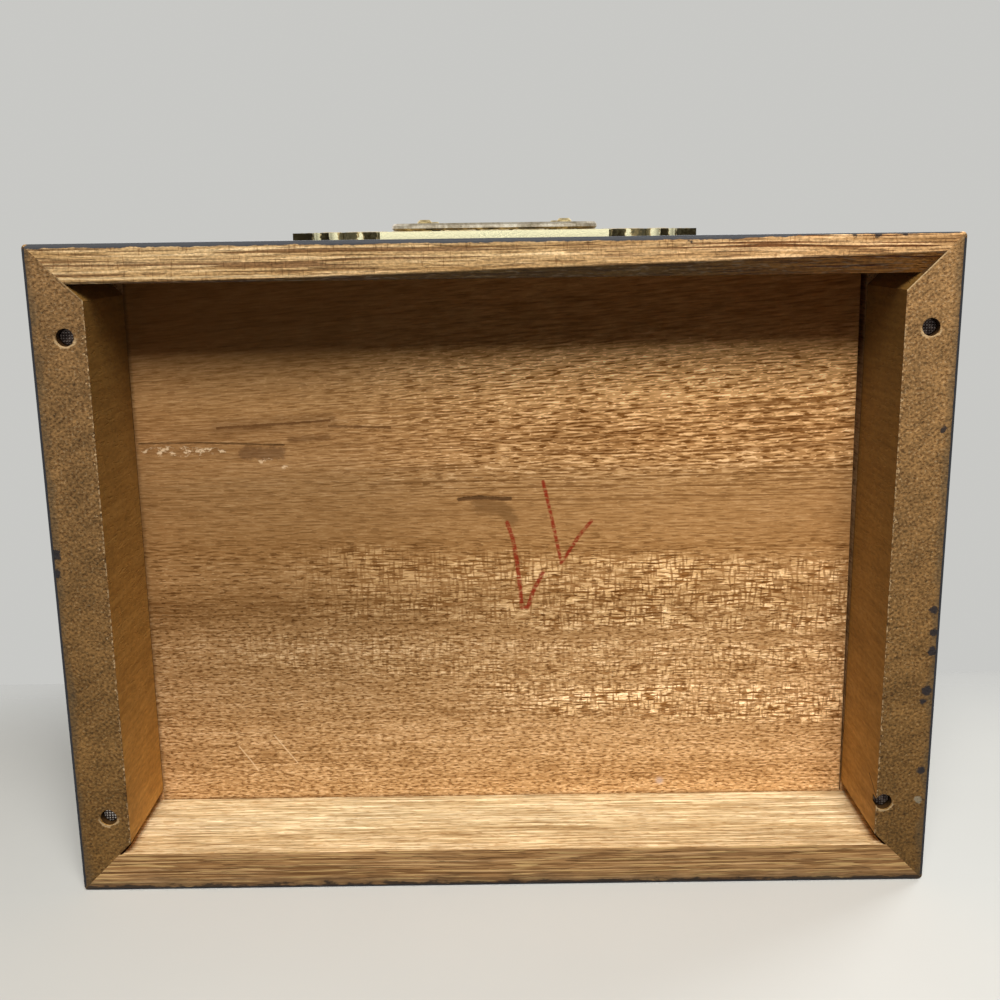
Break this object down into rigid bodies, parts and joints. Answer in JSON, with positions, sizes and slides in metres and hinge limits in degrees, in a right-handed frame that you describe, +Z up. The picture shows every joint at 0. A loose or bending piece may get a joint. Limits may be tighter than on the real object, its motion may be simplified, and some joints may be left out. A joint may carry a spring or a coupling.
{
  "type": "jewelry chest",
  "caption": "Black-lacquered hardwood jewelry chest with drawers on brass drop-bail pulls, a mirrored hinged lid over a lined compartment, and a nailed mitred plinth.",
  "frame": {"origin": "on the surface that the chest stands on, at the centre of its full width and of its full depth with the pulls", "axes": "+X to the right seen from the front, the front with the drawers and pulls faces -Y, +Z up"},
  "size_m": [0.25, 0.1942, 0.2115],
  "materials": {
    "plinth_wood": "bare sawn hardwood, blue-black lacquer on the outer faces",
    "lacquered_wood": "gloss blue-black lacquer, worn at the arrises",
    "bare_wood": "bare planed golden-brown hardwood",
    "brass": "cast brass, bright edges over olive tarnish",
    "steel": "dull wire-nail steel",
    "mirror_glass": "silvered glass",
    "velvet": "short-pile dark red velvet"
  },
  "bodies": {
    "case": {"plinth_front_rail": "plinth_wood", "plinth_back_rail": "plinth_wood", "plinth_left_rail": "plinth_wood", "plinth_right_rail": "plinth_wood", "plinth_nails": "steel", "bottom_board": "bare_wood", "front_sill": "lacquered_wood", "left_side": "lacquered_wood", "right_side": "lacquered_wood", "back_board": "lacquered_wood", "drawer_divider": "lacquered_wood", "compartment_floor": "bare_wood", "upper_front_wall": "lacquered_wood", "compartment_lining": "velvet", "long_partition": "bare_wood", "cross_partition": "bare_wood", "ring_rolls": "velvet", "left_hinge_case_leaf": "brass", "right_hinge_case_leaf": "brass", "left_hinge_pin": "brass", "right_hinge_pin": "brass", "case_hinge_screws": "brass"},
    "lid": {"lid_panel": "lacquered_wood", "lid_front_rail": "lacquered_wood", "lid_back_rail": "lacquered_wood", "lid_left_rail": "lacquered_wood", "lid_right_rail": "lacquered_wood", "lid_mirror": "mirror_glass", "mirror_front_bead": "bare_wood", "mirror_back_bead": "bare_wood", "mirror_left_bead": "bare_wood", "mirror_right_bead": "bare_wood", "left_hinge_lid_leaf": "brass", "right_hinge_lid_leaf": "brass", "lid_hinge_screws": "brass"},
    "lower_drawer": {"lower_drawer_front": "lacquered_wood", "lower_drawer_left_side": "bare_wood", "lower_drawer_right_side": "bare_wood", "lower_drawer_back": "bare_wood", "lower_drawer_bottom": "bare_wood", "lower_drawer_lining": "velvet", "lower_pull_plate": "brass", "lower_pull_posts": "brass", "lower_pull_nuts": "brass"},
    "lower_bail": {"lower_bail": "brass"},
    "upper_drawer": {"upper_drawer_front": "lacquered_wood", "upper_drawer_left_side": "bare_wood", "upper_drawer_right_side": "bare_wood", "upper_drawer_back": "bare_wood", "upper_drawer_bottom": "bare_wood", "upper_drawer_lining": "velvet", "upper_pull_plate": "brass", "upper_pull_posts": "brass", "upper_pull_nuts": "brass"},
    "upper_bail": {"upper_bail": "brass"}
  },
  "joints": [
    {"name": "lid_hinge", "type": "hinge", "parent": "case", "child": "lid", "pos_m": [0, 0.09365, 0.18925], "axis": [-1, 0, 0], "range_deg": [0, 100]},
    {"name": "lower_drawer_slide", "type": "slide", "parent": "case", "child": "lower_drawer", "axis": [0, -1, 0], "range_m": [0, 0.13]},
    {"name": "lower_bail_hinge", "type": "hinge", "parent": "lower_drawer", "child": "lower_bail", "pos_m": [0, -0.0948, 0.0723], "axis": [-1, 0, 0], "range_deg": [0, 175]},
    {"name": "upper_drawer_slide", "type": "slide", "parent": "case", "child": "upper_drawer", "axis": [0, -1, 0], "range_m": [0, 0.13]},
    {"name": "upper_bail_hinge", "type": "hinge", "parent": "upper_drawer", "child": "upper_bail", "pos_m": [0, -0.0948, 0.1293], "axis": [-1, 0, 0], "range_deg": [0, 175]}
  ]
}
